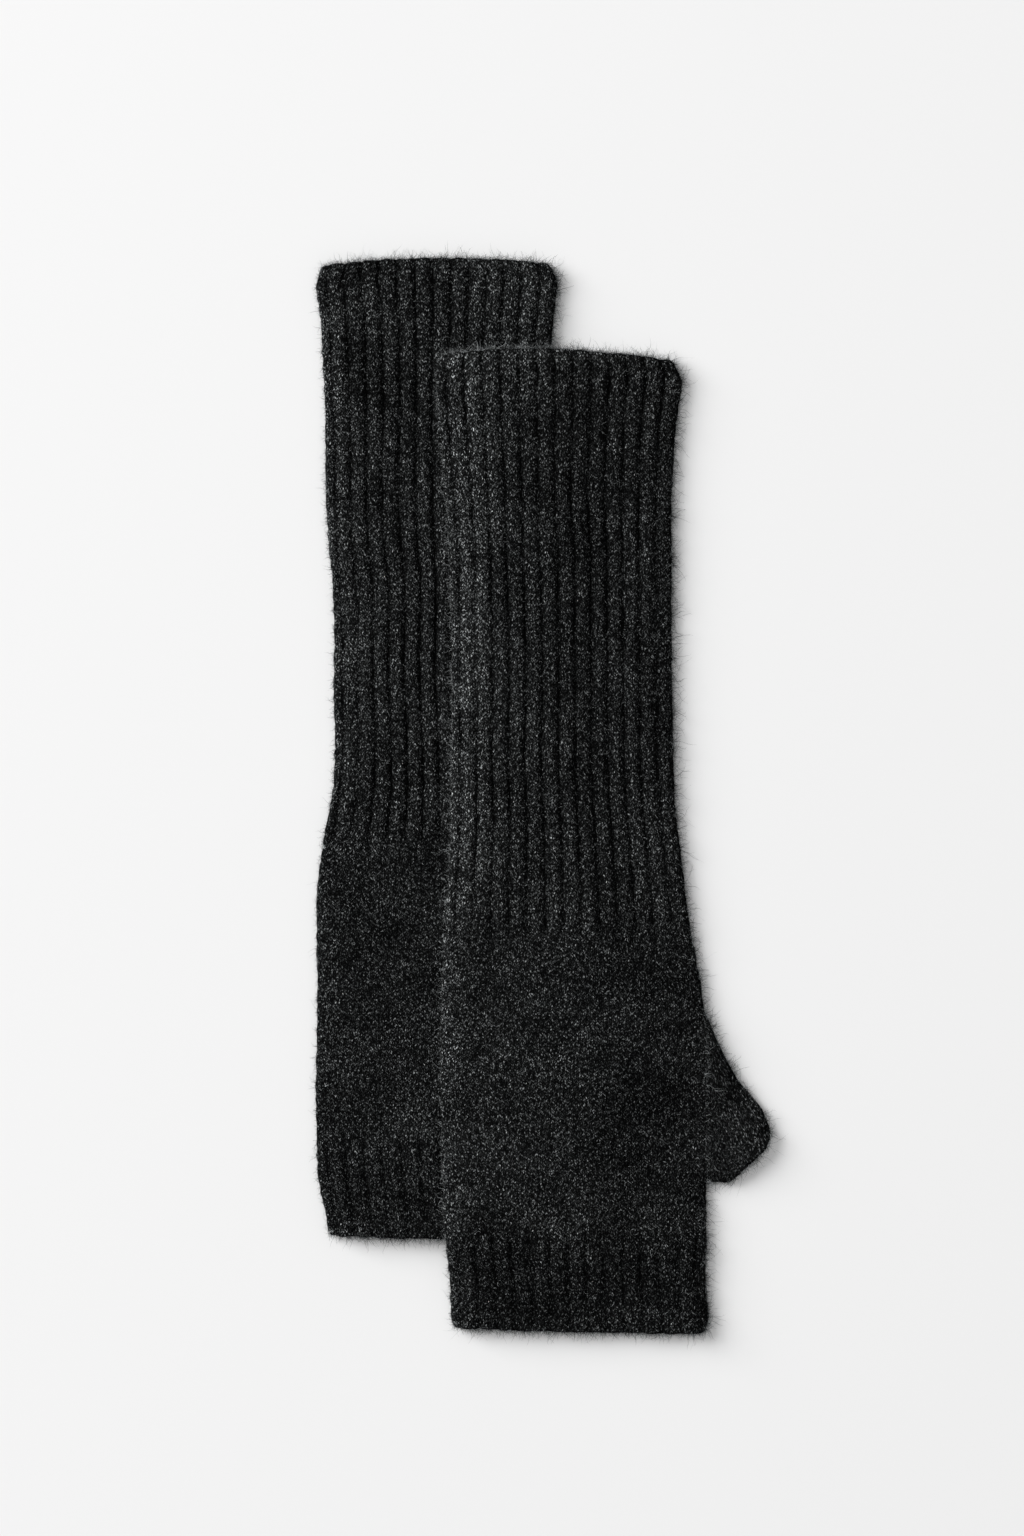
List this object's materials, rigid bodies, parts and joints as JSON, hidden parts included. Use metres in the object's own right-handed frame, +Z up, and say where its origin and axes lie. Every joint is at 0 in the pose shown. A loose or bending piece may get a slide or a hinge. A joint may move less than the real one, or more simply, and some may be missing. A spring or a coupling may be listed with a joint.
{
  "type": "pair of fingerless mittens",
  "caption": "Long fingerless knit mittens laid flat and lapped, with ribbed arms, plain hands, open thumb tubes and ribbed finger bands, to warm the forearms and hands.",
  "frame": {"origin": "middle of the pair's footprint, on the surface that it lies on", "axes": "+X to the thumb side, +Y to the arm ends, +Z up from the surface"},
  "size_m": [0.1606, 0.3772, 0.0111],
  "materials": {
    "rib_knit": "brushed wool rib, charcoal with paler flecks, matte and hairy",
    "plain_knit": "brushed wool plain knit, charcoal with paler flecks, matte and hairy"
  },
  "bodies": {
    "root": {"back_arm_rib": "rib_knit", "back_hand": "plain_knit", "back_finger_rib": "rib_knit", "back_thumb": "plain_knit", "front_arm_rib": "rib_knit", "front_hand": "plain_knit", "front_finger_rib": "rib_knit", "front_thumb": "plain_knit"}
  },
  "joints": []
}
